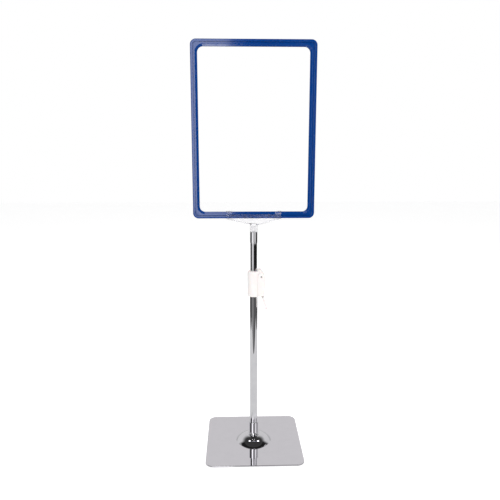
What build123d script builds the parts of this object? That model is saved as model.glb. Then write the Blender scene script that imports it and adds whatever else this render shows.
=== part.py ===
"""Telescopic sign stand: a plastic sheet frame on a height-adjustable chromed pole.

A square pressed-steel plate on four stick-on pads carries a domed cover and a socket, bolted up
from below. The outer tube stands in the socket. A lever clamp on its top end grips the inner
tube. A clear T-piece plugs into the inner tube, turns in it, and clips on the frame's lower rail.
The frame is two welded half shells with a slot along the top for a 297 x 420 sheet.

The row frame is in millimetres: +Z up, X across the sign, the sign faces -Y, and the origin is on
the floor under the pole. The pole is drawn nearly closed and the clamp lever is drawn locked.
"""

import os
from math import atan2, cos, radians, sin

from build123d import *

# Fits
RUNNING = 0.05  # radial gap of a turning or sliding fit
SEAT_GAP = 0.05  # gap round a piece that is pushed or pressed into its seat
LOOSE = 0.2  # gap beside pieces that only pass each other

# Base plate, its pads and the pressed pocket over the bolt head
PLATE_SIDE = 255.0
PLATE_THICK = 3.0
PLATE_CORNER = 21.0
PLATE_EDGE_ROUND = 1.0
PAD_DIAMETER = 24.0
PAD_THICK = 1.5
PAD_INSET = 30.0
POCKET_RAISE = 9.0
POCKET_ROOF_RADIUS = 25.0
POCKET_DRAFT = 8.0
POCKET_ROUND = 1.5

# Domed cover over the pocket
DOME_DIAMETER = 95.0
DOME_HEIGHT = 17.3
DOME_SHEET = 1.2
DOME_CROWN_RADIUS = 16.5
DOME_BULGE = 3.6
DOME_RIM_FACTOR = 1.3  # the sheet cut level at the rim is this much wider than its thickness

# Socket for the pole, with its threaded plug and bolt
SOCKET_DIAMETER = 26.0
SOCKET_LENGTH = 36.5
SOCKET_FOOT_DIAMETER = 31.5
SOCKET_FOOT_THICK = 1.6
SOCKET_FOOT_ROUND = 2.0
SOCKET_RIM_ROUND = 1.0
PLUG_HEIGHT = 10.0
PLUG_SPIGOT_RADIUS = 8.0
PLUG_THREAD_ROOF = 2.0
BOLT_RADIUS = 4.0
BOLT_HEAD_FLATS = 13.0
BOLT_HEAD_HEIGHT = 5.3
BOLT_TIP_GAP = 1.5
WASHER_RADIUS = 12.0
WASHER_THICK = 1.6
LOCK_WASHER_RADIUS = 7.4
LOCK_WASHER_THICK = 2.0
LOCK_WASHER_SPLIT = 1.5

# Telescopic tubes
OUTER_TUBE_DIAMETER = 20.0
OUTER_TUBE_WALL = 1.0
OUTER_TUBE_LENGTH = 421.0
INNER_TUBE_DIAMETER = 17.0
INNER_TUBE_WALL = 0.8
INNER_TUBE_LENGTH = 471.0
TUBE_EDGE = 0.25
POLE_EXPOSED = 69.5  # inner tube showing between the clamp and the collar
GLIDE_LENGTH = 12.0
GLIDE_STEM = 16.0
GLIDE_GAP = 0.1
GLIDE_WALL = 2.2

# Collar on the inner tube's top end
COLLAR_DIAMETER = 18.4
COLLAR_LENGTH = 29.0
COLLAR_LIP = 1.0
COLLAR_ROUND = 0.5

# Lever clamp
CLAMP_RADIUS = 16.0
CLAMP_HEIGHT = 72.0
BARREL_DROP = 5.0  # how far the barrel's top lies below the lug's
LUG_STEP_X = 9.6  # where the lug rises above the barrel
CLAMP_GRIP = 37.5  # depth of the seat over the outer tube
CLAMP_BORE_GAP = 0.1
CLAMP_ROUND = 1.2
LUG_HALF = 8.5
LUG_SIDE_TOP = 26.4
LUG_SIDE_BOTTOM = 24.6
LUG_ROUND = 1.0
PIVOT_X = 19.8
PIVOT_DROP = 19.2
SLOPE_START_X = 17.5
SLOPE_END_DROP = 12.6
SLOT_HALF = 4.2
SLOT_BELOW = 27.0
SLOT_ABOVE = 10.0
PAD_POCKET_HALF_Y = 6.0
PAD_POCKET_HALF_Z = 8.0
PAD_POCKET_X = 12.4
BRAKE_BACK_X = 11.3
BRAKE_TUBE_GAP = 0.15
PIN_RADIUS = 2.25
PIN_DISH = 0.6

# Clamp lever
CHEEK_THICK = 2.5
CHEEK_GAP = 0.3
HEAD_RADIUS = 9.0
RECESS_GAP = 0.4
WEB_THICK = 2.4
WEB_TOP_DROP = 11.5
WEB_TOP_X = 29.3
WEB_BOTTOM_X = 27.8
CAM_RADIUS = 7.2
CAM_OFFSET = 1.2
CAM_HALF = 3.9
CHEEK_ROUND = 0.8
CHEEK_RAISE = 1.0
CAM_ARM_HEIGHT = 12.0
TONGUE_ROOT_DROP = 2.0
TONGUE_ROOT_X = 20.4
TONGUE_BOW = 1.2
TONGUE_LEAN = 2.6  # drop for each unit of reach, at the tip
TONGUE_TIP_ROUND = 6.65
TAPER_ABOVE = 4.0
TAPER_BELOW = 6.0
TONGUE_DROP = 38.0
TONGUE_REACH = 37.0
TONGUE_TIP_THICK = 5.6
TONGUE_HALF = 9.5

# Sheet frame, sized by the sheet it holds
SHEET_WIDTH = 297.0
SHEET_HEIGHT = 420.0
SHEET_CLEARANCE = 0.7  # beside the sheet, on each edge
SHEET_SLOT = 2.4
SHEET_WALL = 5.8
SHEET_HEADROOM = 9.5
FRAME_RAIL = 17.0
FRAME_DEPTH = 10.0
FRAME_CORNER = 14.0
WINDOW_CORNER = 14.0
BEAD_WIDTH = 6.4
BEAD_ROUND = 1.9
BEAD_INNER_ROUND = 0.5
GROOVE_WIDTH = 1.6
GROOVE_DEPTH = 1.6
BAND_DROP = 0.5
SLOPE_WIDTH = 5.6
SLOPE_DEPTH = 2.2
PEG_RADIUS = 1.2
PEG_LENGTH = 2.2
PEG_PITCH = 70.0

# Clear T-piece
NECK_DIAMETER = 19.2
NECK_HEIGHT = 19.0
STEM_LENGTH = 40.0
STEM_BORE_RADIUS = 5.0
STEM_SLIT = 2.0
STEM_SLIT_LENGTH = 24.0
STEM_CHAMFER = 1.0
NECK_CHAMFER = 0.5
NECK_ROOF = 4.0  # solid top of the neck, above the stem's bore
GUSSET_SINK = 1.0  # how far into the neck the gusset starts
GUSSET_HEIGHT = 14.2
GUSSET_THICK = 4.0
GUSSET_FLANGE = 1.8
GUSSET_FLANGE_HALF = 5.0
FLANGE_END = 7.2  # length over which a flange runs out under the channel
FLANGE_END_RISE = 0.2
CHANNEL_LENGTH = 140.0
CHANNEL_WALL = 2.0
CHANNEL_LIP = 10.5
CLIP_LENGTH = 15.0
CLIP_NOSE = 1.6
CLIP_TOP = 18.4
CLIP_GAP = 0.4
CLIP_ROUND = 0.4
CLIP_TIP = 0.4
CLIP_TOP_SLOPE = 0.8
CHANNEL_GAP = 0.1

# Heights worked out from the sizes above
PLATE_BOTTOM = PAD_THICK
PLATE_TOP = PLATE_BOTTOM + PLATE_THICK
POCKET_CEILING = PLATE_BOTTOM + POCKET_RAISE
POCKET_TOP = PLATE_TOP + POCKET_RAISE
DOME_TOP = PLATE_TOP + DOME_HEIGHT
SOCKET_TOP = DOME_TOP + SOCKET_LENGTH
PLUG_TOP = DOME_TOP + PLUG_HEIGHT
OUTER_TUBE_TOP = PLUG_TOP + OUTER_TUBE_LENGTH
CLAMP_BOTTOM = OUTER_TUBE_TOP - CLAMP_GRIP
CLAMP_TOP = CLAMP_BOTTOM + CLAMP_HEIGHT
PIVOT_Z = CLAMP_TOP - PIVOT_DROP
COLLAR_BOTTOM = CLAMP_TOP + POLE_EXPOSED
COLLAR_TOP = COLLAR_BOTTOM + COLLAR_LENGTH
INNER_TUBE_TOP = COLLAR_TOP - COLLAR_LIP
INNER_TUBE_BOTTOM = INNER_TUBE_TOP - INNER_TUBE_LENGTH
NECK_TOP = COLLAR_TOP + NECK_HEIGHT
CHANNEL_BOTTOM = NECK_TOP + GUSSET_HEIGHT
FRAME_BOTTOM = CHANNEL_BOTTOM + CHANNEL_WALL + CHANNEL_GAP
FRAME_WIDTH = SHEET_WIDTH + 2 * (SHEET_CLEARANCE + SHEET_WALL)
FRAME_HEIGHT = SHEET_HEIGHT + SHEET_CLEARANCE + SHEET_WALL + SHEET_HEADROOM
FRAME_MIDDLE = FRAME_BOTTOM + FRAME_HEIGHT / 2

OUTER_TUBE_RADIUS = OUTER_TUBE_DIAMETER / 2
OUTER_TUBE_BORE = OUTER_TUBE_RADIUS - OUTER_TUBE_WALL
INNER_TUBE_RADIUS = INNER_TUBE_DIAMETER / 2
INNER_TUBE_BORE = INNER_TUBE_RADIUS - INNER_TUBE_WALL
SOCKET_BORE = OUTER_TUBE_RADIUS + SEAT_GAP
BIG = 200.0

UPWARDS = (Align.CENTER, Align.CENTER, Align.MIN)

os.makedirs("parts", exist_ok=True)


def save(builder, name):
    """Labels a finished piece and writes it as a STEP file of that name."""
    builder.part.label = name
    export_step(builder.part, f"parts/{name}.step")


def level(z):
    """The horizontal plane at height z."""
    return Plane.XY.offset(z)


# ---------------------------------------------------------------- base


def make_base_plate():
    """Square sheet-steel plate with a pressed pocket that hides the bolt head."""
    with BuildPart() as base_plate:
        with BuildSketch(level(PLATE_BOTTOM)):
            RectangleRounded(PLATE_SIDE, PLATE_SIDE, PLATE_CORNER)
        extrude(amount=PLATE_THICK)
        fillet(base_plate.faces().sort_by(Axis.Z)[-1].edges(), PLATE_EDGE_ROUND)
        chamfer(base_plate.faces().sort_by(Axis.Z)[0].edges(), PLATE_EDGE_ROUND / 2)
        roof = POCKET_ROOF_RADIUS + PLATE_THICK
        with Locations((0, 0, PLATE_TOP)):
            Cone(roof + POCKET_DRAFT, roof, POCKET_RAISE, align=UPWARDS)
        with Locations((0, 0, PLATE_BOTTOM)):
            Cone(
                POCKET_ROOF_RADIUS + POCKET_DRAFT,
                POCKET_ROOF_RADIUS,
                POCKET_RAISE,
                align=UPWARDS,
                mode=Mode.SUBTRACT,
            )
        pressed = base_plate.edges().filter_by(GeomType.CIRCLE)
        fillet(pressed.filter_by(lambda e: e.radius > POCKET_ROOF_RADIUS - 1), POCKET_ROUND)
        with Locations((0, 0, POCKET_CEILING)):
            Cylinder(
                BOLT_RADIUS + LOOSE, PLATE_THICK, align=UPWARDS, mode=Mode.SUBTRACT
            )
    save(base_plate, "base_plate")


def make_base_pads():
    """Four round stick-on pads under the plate's corners, one node."""
    pitch = PLATE_SIDE - 2 * PAD_INSET
    with BuildPart() as base_pads:
        with BuildSketch(level(0)):
            with GridLocations(pitch, pitch, 2, 2):
                Circle(PAD_DIAMETER / 2)
        extrude(amount=PAD_THICK)
        chamfer(base_pads.edges().group_by(Axis.Z)[0], PAD_THICK / 5)
    save(base_pads, "base_pads")


def dome_point(r_rim, z_crown):
    """Middle point of the dome's arc from its crown's edge to a rim radius."""
    run, rise = r_rim - DOME_CROWN_RADIUS, z_crown - PLATE_TOP
    slope = atan2(rise, run)
    return (
        DOME_CROWN_RADIUS + run / 2 + DOME_BULGE * sin(slope),
        PLATE_TOP + rise / 2 + DOME_BULGE * cos(slope),
    )


def make_dome_cover():
    """Drawn sheet-steel dome that stands on the plate and spreads the pole's load."""
    rim = DOME_DIAMETER / 2
    hole = PLUG_SPIGOT_RADIUS + LOOSE
    inner_rim = rim - DOME_RIM_FACTOR * DOME_SHEET
    inner_top = DOME_TOP - DOME_SHEET
    with BuildPart() as dome_cover:
        with BuildSketch(Plane.XZ):
            with BuildLine():
                Line((hole, DOME_TOP), (DOME_CROWN_RADIUS, DOME_TOP))
                ThreePointArc(
                    (DOME_CROWN_RADIUS, DOME_TOP), dome_point(rim, DOME_TOP), (rim, PLATE_TOP)
                )
                Line((rim, PLATE_TOP), (inner_rim, PLATE_TOP))
                ThreePointArc(
                    (inner_rim, PLATE_TOP),
                    dome_point(inner_rim, inner_top),
                    (DOME_CROWN_RADIUS, inner_top),
                )
                Line((DOME_CROWN_RADIUS, inner_top), (hole, inner_top))
                Line((hole, inner_top), (hole, DOME_TOP))
            make_face()
        revolve(axis=Axis.Z)
    save(dome_cover, "dome_cover")


def make_socket_sleeve():
    """Turned socket with a flared foot, which stands on the dome's crown."""
    outer = SOCKET_DIAMETER / 2
    foot = SOCKET_FOOT_DIAMETER / 2
    foot_top = DOME_TOP + SOCKET_FOOT_THICK
    with BuildPart() as socket_sleeve:
        with Locations((0, 0, DOME_TOP)):
            Cylinder(foot, SOCKET_FOOT_THICK, align=UPWARDS)
            Cylinder(outer, SOCKET_LENGTH, align=UPWARDS)
        rings = socket_sleeve.edges().filter_by(GeomType.CIRCLE)
        corner = rings.filter_by(lambda e: e.radius < outer + 0.1).filter_by_position(
            Axis.Z, foot_top - 0.1, foot_top + 0.1
        )
        fillet(corner, SOCKET_FOOT_ROUND)
        rim = socket_sleeve.edges().filter_by_position(Axis.Z, SOCKET_TOP - 0.1, SOCKET_TOP + 0.1)
        fillet(rim, SOCKET_RIM_ROUND)
        edge = socket_sleeve.edges().filter_by(
            lambda e: e.geom_type == GeomType.CIRCLE and e.radius > foot - 0.1
        )
        fillet(edge, SOCKET_FOOT_THICK / 3)
        with Locations((0, 0, DOME_TOP)):
            Cylinder(SOCKET_BORE, SOCKET_LENGTH, align=UPWARDS, mode=Mode.SUBTRACT)
    save(socket_sleeve, "socket_sleeve")


def make_socket_plug():
    """Threaded plug pressed in the socket's foot; its spigot stands on the pocket's roof."""
    with BuildPart() as socket_plug:
        with Locations((0, 0, POCKET_TOP)):
            Cylinder(PLUG_SPIGOT_RADIUS, DOME_TOP - POCKET_TOP, align=UPWARDS)
        with Locations((0, 0, DOME_TOP)):
            Cylinder(SOCKET_BORE - SEAT_GAP / 2, PLUG_HEIGHT, align=UPWARDS)
        chamfer(socket_plug.edges().group_by(Axis.Z)[-1], PLUG_HEIGHT / 20)
        with Locations((0, 0, POCKET_TOP)):
            Cylinder(
                BOLT_RADIUS + RUNNING,
                PLUG_TOP - PLUG_THREAD_ROOF - POCKET_TOP,
                align=UPWARDS,
                mode=Mode.SUBTRACT,
            )
    save(socket_plug, "socket_plug")


def make_bolt_set():
    """Hexagon bolt with its plain washer and split lock washer, in the plate's pocket."""
    washer_bottom = POCKET_CEILING - WASHER_THICK
    lock_bottom = washer_bottom - LOCK_WASHER_THICK
    head_bottom = lock_bottom - BOLT_HEAD_HEIGHT
    tip = PLUG_TOP - PLUG_THREAD_ROOF - BOLT_TIP_GAP
    with BuildPart() as base_washer:
        with BuildSketch(level(washer_bottom)):
            Circle(WASHER_RADIUS)
            Circle(BOLT_RADIUS + LOOSE, mode=Mode.SUBTRACT)
        extrude(amount=WASHER_THICK)
    save(base_washer, "base_washer")

    with BuildPart() as lock_washer:
        with BuildSketch(level(lock_bottom)):
            Circle(LOCK_WASHER_RADIUS)
            Circle(BOLT_RADIUS + LOOSE, mode=Mode.SUBTRACT)
            with Locations((LOCK_WASHER_RADIUS / 2, 0)):
                Rectangle(LOCK_WASHER_RADIUS + 1, LOCK_WASHER_SPLIT, mode=Mode.SUBTRACT)
        extrude(amount=LOCK_WASHER_THICK)
    save(lock_washer, "lock_washer")

    with BuildPart() as base_bolt:
        with BuildSketch(level(head_bottom)):
            RegularPolygon(BOLT_HEAD_FLATS / 2, 6, major_radius=False)
        extrude(amount=BOLT_HEAD_HEIGHT)
        chamfer(base_bolt.edges().group_by(Axis.Z)[0], BOLT_HEAD_HEIGHT / 10)
        with Locations((0, 0, lock_bottom)):
            Cylinder(BOLT_RADIUS, tip - lock_bottom, align=UPWARDS)
        chamfer(base_bolt.edges().group_by(Axis.Z)[-1], BOLT_RADIUS / 5)
    save(base_bolt, "base_bolt")


# ---------------------------------------------------------------- pole


def make_tube(name, bottom, length, radius, wall):
    """A plain round tube with its end edges broken."""
    with BuildPart() as tube:
        with BuildSketch(level(bottom)):
            Circle(radius)
            Circle(radius - wall, mode=Mode.SUBTRACT)
        extrude(amount=length)
        ends = tube.edges().filter_by(GeomType.CIRCLE)
        chamfer(ends, TUBE_EDGE)
    save(tube, name)


def make_tube_glide():
    """Plastic glide plugged in the inner tube's lower end, running in the outer tube."""
    bottom = INNER_TUBE_BOTTOM - GLIDE_LENGTH
    runner = OUTER_TUBE_BORE - GLIDE_GAP
    stem = INNER_TUBE_BORE - SEAT_GAP
    with BuildPart() as tube_glide:
        with Locations((0, 0, bottom)):
            Cylinder(runner, GLIDE_LENGTH, align=UPWARDS)
        chamfer(tube_glide.edges().group_by(Axis.Z)[0], GLIDE_LENGTH / 15)
        with Locations((0, 0, INNER_TUBE_BOTTOM)):
            Cylinder(stem, GLIDE_STEM, align=UPWARDS)
        chamfer(tube_glide.edges().group_by(Axis.Z)[-1], GLIDE_STEM / 20)
        with Locations((0, 0, bottom)):
            Cylinder(
                stem - GLIDE_WALL, GLIDE_LENGTH + GLIDE_STEM, align=UPWARDS, mode=Mode.SUBTRACT
            )
    save(tube_glide, "tube_glide")


def make_top_collar():
    """Chromed collar on the inner tube's top end, with a lip turned in over the tube."""
    with BuildPart() as top_collar:
        with Locations((0, 0, COLLAR_BOTTOM)):
            Cylinder(COLLAR_DIAMETER / 2, COLLAR_LENGTH, align=UPWARDS)
        fillet(top_collar.edges().filter_by(GeomType.CIRCLE), COLLAR_ROUND)
        with Locations((0, 0, COLLAR_BOTTOM)):
            Cylinder(
                INNER_TUBE_RADIUS + SEAT_GAP,
                COLLAR_LENGTH - COLLAR_LIP,
                align=UPWARDS,
                mode=Mode.SUBTRACT,
            )
            Cylinder(INNER_TUBE_BORE, COLLAR_LENGTH, align=UPWARDS, mode=Mode.SUBTRACT)
    save(top_collar, "top_collar")


# ---------------------------------------------------------------- clamp


def slope_end():
    """Lower end of the lug's sloping top corner, as (x, z)."""
    return LUG_SIDE_TOP, CLAMP_TOP - SLOPE_END_DROP


def make_clamp_body():
    """White plastic clamp: a barrel over both tubes with a slotted lug for the lever."""
    side_x, side_z = slope_end()
    cheek_recess = HEAD_RADIUS + RECESS_GAP
    with BuildPart() as clamp_body:
        with Locations((0, 0, CLAMP_BOTTOM)):
            Cylinder(CLAMP_RADIUS, CLAMP_HEIGHT - BARREL_DROP, align=UPWARDS)
        fillet(clamp_body.edges().filter_by(GeomType.CIRCLE), CLAMP_ROUND)
        with BuildPart(mode=Mode.PRIVATE) as lug:
            with BuildSketch(Plane.XZ):
                Polygon(
                    (0, CLAMP_BOTTOM),
                    (LUG_SIDE_BOTTOM, CLAMP_BOTTOM),
                    (side_x, side_z),
                    (SLOPE_START_X, CLAMP_TOP),
                    (LUG_STEP_X, CLAMP_TOP),
                    (LUG_STEP_X, CLAMP_TOP - BARREL_DROP),
                    (0, CLAMP_TOP - BARREL_DROP),
                    align=None,
                )
            extrude(amount=LUG_HALF, both=True)
            fillet(lug.edges().filter_by(Axis.Y).group_by(Axis.X)[1:], LUG_ROUND)
        add(lug.part)
        # room for the lever's cheeks beside the lug
        for side in (1, -1):
            with BuildSketch(Plane.XZ.offset(side * LUG_HALF)):
                with Locations((PIVOT_X, PIVOT_Z)):
                    Circle(cheek_recess)
                    Rectangle(
                        BIG, BIG, align=(Align.MIN, Align.MAX), mode=Mode.ADD
                    )
                    Rectangle(
                        2 * cheek_recess, BIG, align=(Align.CENTER, Align.MAX), mode=Mode.ADD
                    )
            extrude(amount=side * CLAMP_RADIUS, mode=Mode.SUBTRACT)
        # slot for the cam, and the brake pad's pocket
        with BuildSketch(Plane.XZ):
            with Locations((PAD_POCKET_X, PIVOT_Z - SLOT_BELOW)):
                Rectangle(BIG, SLOT_BELOW + SLOT_ABOVE, align=(Align.MIN, Align.MIN))
        extrude(amount=SLOT_HALF, both=True, mode=Mode.SUBTRACT)
        with BuildSketch(Plane.XZ):
            with Locations((0, PIVOT_Z)):
                Rectangle(
                    PAD_POCKET_X, 2 * PAD_POCKET_HALF_Z, align=(Align.MIN, Align.CENTER)
                )
        extrude(amount=PAD_POCKET_HALF_Y, both=True, mode=Mode.SUBTRACT)
        # bores for the two tubes
        with Locations((0, 0, CLAMP_BOTTOM)):
            Cylinder(
                OUTER_TUBE_RADIUS + SEAT_GAP, CLAMP_GRIP, align=UPWARDS, mode=Mode.SUBTRACT
            )
            Cylinder(
                INNER_TUBE_RADIUS + CLAMP_BORE_GAP,
                CLAMP_HEIGHT,
                align=UPWARDS,
                mode=Mode.SUBTRACT,
            )
        with BuildSketch(Plane.XZ):
            with Locations((PIVOT_X, PIVOT_Z)):
                Circle(PIN_RADIUS)
        extrude(amount=LUG_HALF, both=True, mode=Mode.SUBTRACT)
    save(clamp_body, "clamp_body")


def make_lever_pin():
    """Steel pin through the lug, on which the lever turns."""
    half = LUG_HALF + CHEEK_GAP + CHEEK_THICK - PIN_DISH
    with BuildPart() as lever_pin:
        with BuildSketch(Plane.XZ):
            with Locations((PIVOT_X, PIVOT_Z)):
                Circle(PIN_RADIUS)
        extrude(amount=half, both=True)
        chamfer(lever_pin.edges().filter_by(GeomType.CIRCLE), PIN_RADIUS / 6)
    save(lever_pin, "lever_pin")


def make_brake_pad():
    """Pad between the cam and the inner tube, hollowed to the tube's radius."""
    half_y = PAD_POCKET_HALF_Y - LOOSE
    half_z = PAD_POCKET_HALF_Z - LOOSE
    with BuildPart() as brake_pad:
        with Locations((0, 0, PIVOT_Z)):
            Box(
                BRAKE_BACK_X,
                2 * half_y,
                2 * half_z,
                align=(Align.MIN, Align.CENTER, Align.CENTER),
            )
            Cylinder(
                INNER_TUBE_RADIUS + BRAKE_TUBE_GAP, 4 * half_z, mode=Mode.SUBTRACT
            )
    save(brake_pad, "brake_pad")


def make_clamp_lever():
    """White lever: two cheeks on the pin, a cam in the slot, a web and a kicked-out tongue."""
    inner_y = LUG_HALF + CHEEK_GAP
    outer_y = inner_y + CHEEK_THICK
    cheek_bottom = CLAMP_BOTTOM + CHEEK_RAISE
    web_top = PIVOT_Z - WEB_TOP_DROP
    tip_z = CLAMP_BOTTOM - TONGUE_DROP
    root_z = CLAMP_BOTTOM - TONGUE_ROOT_DROP
    arc_z = tip_z + TONGUE_TIP_ROUND
    hole = PIN_RADIUS + RUNNING
    with BuildPart() as clamp_lever:
        # cheeks
        with BuildSketch(Plane.XZ) as cheek:
            with Locations((PIVOT_X, PIVOT_Z)):
                Circle(HEAD_RADIUS)
            Polygon(
                (PIVOT_X - HEAD_RADIUS, PIVOT_Z),
                (PIVOT_X - HEAD_RADIUS, cheek_bottom),
                (WEB_BOTTOM_X, cheek_bottom),
                (WEB_TOP_X, web_top),
                (PIVOT_X + HEAD_RADIUS, PIVOT_Z),
                align=None,
            )
        extrude(amount=outer_y, both=True)
        chamfer(
            clamp_lever.faces().filter_by(Axis.Y).edges(), CHEEK_ROUND
        )
        extrude(cheek.sketch, amount=inner_y, both=True, mode=Mode.SUBTRACT)
        # web and tongue, one side profile
        with BuildPart(mode=Mode.PRIVATE) as handle:
            with BuildSketch(Plane.XZ):
                with BuildLine():
                    Polyline(
                        (WEB_TOP_X - WEB_THICK, web_top),
                        (WEB_TOP_X, web_top),
                        (WEB_BOTTOM_X, cheek_bottom),
                    )
                    Spline(
                        (WEB_BOTTOM_X, cheek_bottom),
                        ((WEB_BOTTOM_X + TONGUE_REACH) / 2 - TONGUE_BOW, (cheek_bottom + tip_z) / 2),
                        (TONGUE_REACH, tip_z),
                        tangents=((0, -1), (1, -TONGUE_LEAN)),
                    )
                    Line((TONGUE_REACH, tip_z), (TONGUE_REACH - TONGUE_TIP_THICK, tip_z))
                    Line(
                        (TONGUE_REACH - TONGUE_TIP_THICK, tip_z),
                        (TONGUE_ROOT_X, root_z),
                    )
                    Polyline(
                        (TONGUE_ROOT_X, root_z),
                        (WEB_BOTTOM_X - WEB_THICK, root_z),
                        (WEB_BOTTOM_X - WEB_THICK, cheek_bottom),
                        (WEB_TOP_X - WEB_THICK, web_top),
                    )
                make_face()
            extrude(amount=outer_y, both=True)
            # the tongue narrows to a rounded tip, seen square to its width
            with BuildSketch(Plane.YZ.offset(-BIG / 2)):
                with BuildLine():
                    Polyline(
                        (-outer_y, web_top),
                        (-outer_y, root_z + TAPER_ABOVE),
                        (-TONGUE_HALF, root_z - TAPER_BELOW),
                        (-TONGUE_HALF, arc_z),
                    )
                    ThreePointArc(
                        (-TONGUE_HALF, arc_z),
                        (0, tip_z),
                        (TONGUE_HALF, arc_z),
                    )
                    Polyline(
                        (TONGUE_HALF, arc_z),
                        (TONGUE_HALF, root_z - TAPER_BELOW),
                        (outer_y, root_z + TAPER_ABOVE),
                        (outer_y, web_top),
                        (-outer_y, web_top),
                    )
                make_face()
            extrude(amount=BIG, mode=Mode.INTERSECT)
        add(handle.part)
        # cam and the arm that ties it to the web
        with BuildSketch(Plane.XZ):
            with Locations((PIVOT_X - CAM_OFFSET, PIVOT_Z)):
                Circle(CAM_RADIUS)
            Polygon(
                (PIVOT_X - CAM_OFFSET, PIVOT_Z - CAM_RADIUS),
                (PIVOT_X + CAM_RADIUS - CAM_OFFSET, PIVOT_Z - CAM_OFFSET),
                (WEB_TOP_X - WEB_THICK / 2, web_top),
                (WEB_TOP_X - WEB_THICK / 2, web_top - CAM_ARM_HEIGHT),
                align=None,
            )
        extrude(amount=CAM_HALF, both=True)
        with BuildSketch(Plane.XZ):
            with Locations((PIVOT_X, PIVOT_Z)):
                Circle(hole)
        extrude(amount=outer_y, both=True, mode=Mode.SUBTRACT)
    save(clamp_lever, "clamp_lever")


# ---------------------------------------------------------------- sign frame


def rail_ring(inset_outer, inset_inner, inner_corner=None):
    """Sketch of a ring between two insets from the frame's outer edge."""
    outer_corner = FRAME_CORNER - inset_outer
    if inner_corner is None:
        inner_corner = FRAME_CORNER - inset_inner
    RectangleRounded(
        FRAME_WIDTH - 2 * inset_outer, FRAME_HEIGHT - 2 * inset_outer, outer_corner
    )
    RectangleRounded(
        FRAME_WIDTH - 2 * inset_inner,
        FRAME_HEIGHT - 2 * inset_inner,
        inner_corner,
        mode=Mode.SUBTRACT,
    )


def peg_places():
    """Places of the welding pegs along the two sides and the bottom rail, as (x, z)."""
    x = FRAME_WIDTH / 2 - SHEET_WALL / 2
    z_first = -FRAME_HEIGHT / 2 + FRAME_CORNER + PEG_PITCH / 4
    count = int((FRAME_HEIGHT - 2 * FRAME_CORNER - PEG_PITCH / 2) // PEG_PITCH) + 1
    sides = [(s * x, z_first + n * PEG_PITCH) for s in (-1, 1) for n in range(count)]
    across = int((FRAME_WIDTH - 4 * FRAME_CORNER) // PEG_PITCH)
    bottom_z = -FRAME_HEIGHT / 2 + SHEET_WALL / 2
    bottom = [((n - (across - 1) / 2) * PEG_PITCH, bottom_z) for n in range(across)]
    return sides + bottom


def make_frame_half(name, facing):
    """One half shell of the sheet frame. facing is -1 for the front half and +1 for the rear.

    Its section has a rounded outer bead, a groove, a flat band and a slope down to the window.
    The front half has holes for the rear half's pegs, and both are cut open along the top.
    """
    half = FRAME_DEPTH / 2
    groove_out = BEAD_WIDTH
    groove_in = BEAD_WIDTH + GROOVE_WIDTH

    def at(depth):
        """Upright plane through the frame's middle, depth from the parting face."""
        return Plane(
            origin=(0, facing * depth, FRAME_MIDDLE),
            x_dir=(-facing, 0, 0),
            z_dir=(0, facing, 0),
        )

    with BuildPart() as frame_half:
        # lip over the sheet's edge, from the sheet slot to the band
        with BuildSketch(at(SHEET_SLOT / 2)):
            rail_ring(0, FRAME_RAIL, WINDOW_CORNER)
        extrude(amount=half - BAND_DROP - SHEET_SLOT / 2)
        # slope down to the window
        for depth, flare in ((half - BAND_DROP - SLOPE_DEPTH, 0), (half - BAND_DROP, SLOPE_WIDTH)):
            with BuildSketch(at(depth)):
                RectangleRounded(
                    FRAME_WIDTH - 2 * (FRAME_RAIL - flare),
                    FRAME_HEIGHT - 2 * (FRAME_RAIL - flare),
                    WINDOW_CORNER + flare,
                )
        loft(mode=Mode.SUBTRACT)
        # outer bead and the wall that meets the other half
        with BuildSketch(at(SHEET_SLOT / 2)):
            rail_ring(0, BEAD_WIDTH)
        extrude(amount=half - SHEET_SLOT / 2)
        with BuildSketch(at(half - GROOVE_DEPTH)):
            rail_ring(groove_out, groove_in)
        extrude(amount=GROOVE_DEPTH, mode=Mode.SUBTRACT)
        front = frame_half.faces().sort_by(Axis.Y)[0 if facing < 0 else -1]
        fillet(front.outer_wire().edges(), BEAD_ROUND)
        front = frame_half.faces().filter_by(Axis.Y).sort_by(Axis.Y)[0 if facing < 0 else -1]
        fillet(front.inner_wires()[0].edges(), BEAD_INNER_ROUND)
        with BuildSketch(at(0)):
            rail_ring(0, SHEET_WALL)
        extrude(amount=SHEET_SLOT / 2)
        # mouth of the sheet slot along the top rail
        with BuildSketch(at(0)):
            with Locations((0, FRAME_HEIGHT / 2)):
                Rectangle(FRAME_WIDTH - 2 * SHEET_WALL, 2 * SHEET_WALL + 1)
        extrude(amount=SHEET_SLOT / 2, mode=Mode.SUBTRACT)
        mirrored = [(-facing * x, z) for x, z in peg_places()]
        if facing > 0:
            with BuildSketch(at(0)):
                with Locations(*mirrored):
                    Circle(PEG_RADIUS)
            extrude(amount=-PEG_LENGTH)
        else:
            with BuildSketch(at(0)):
                with Locations(*mirrored):
                    Circle(PEG_RADIUS + RUNNING)
            extrude(amount=PEG_LENGTH + LOOSE, mode=Mode.SUBTRACT)
    save(frame_half, name)


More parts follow.
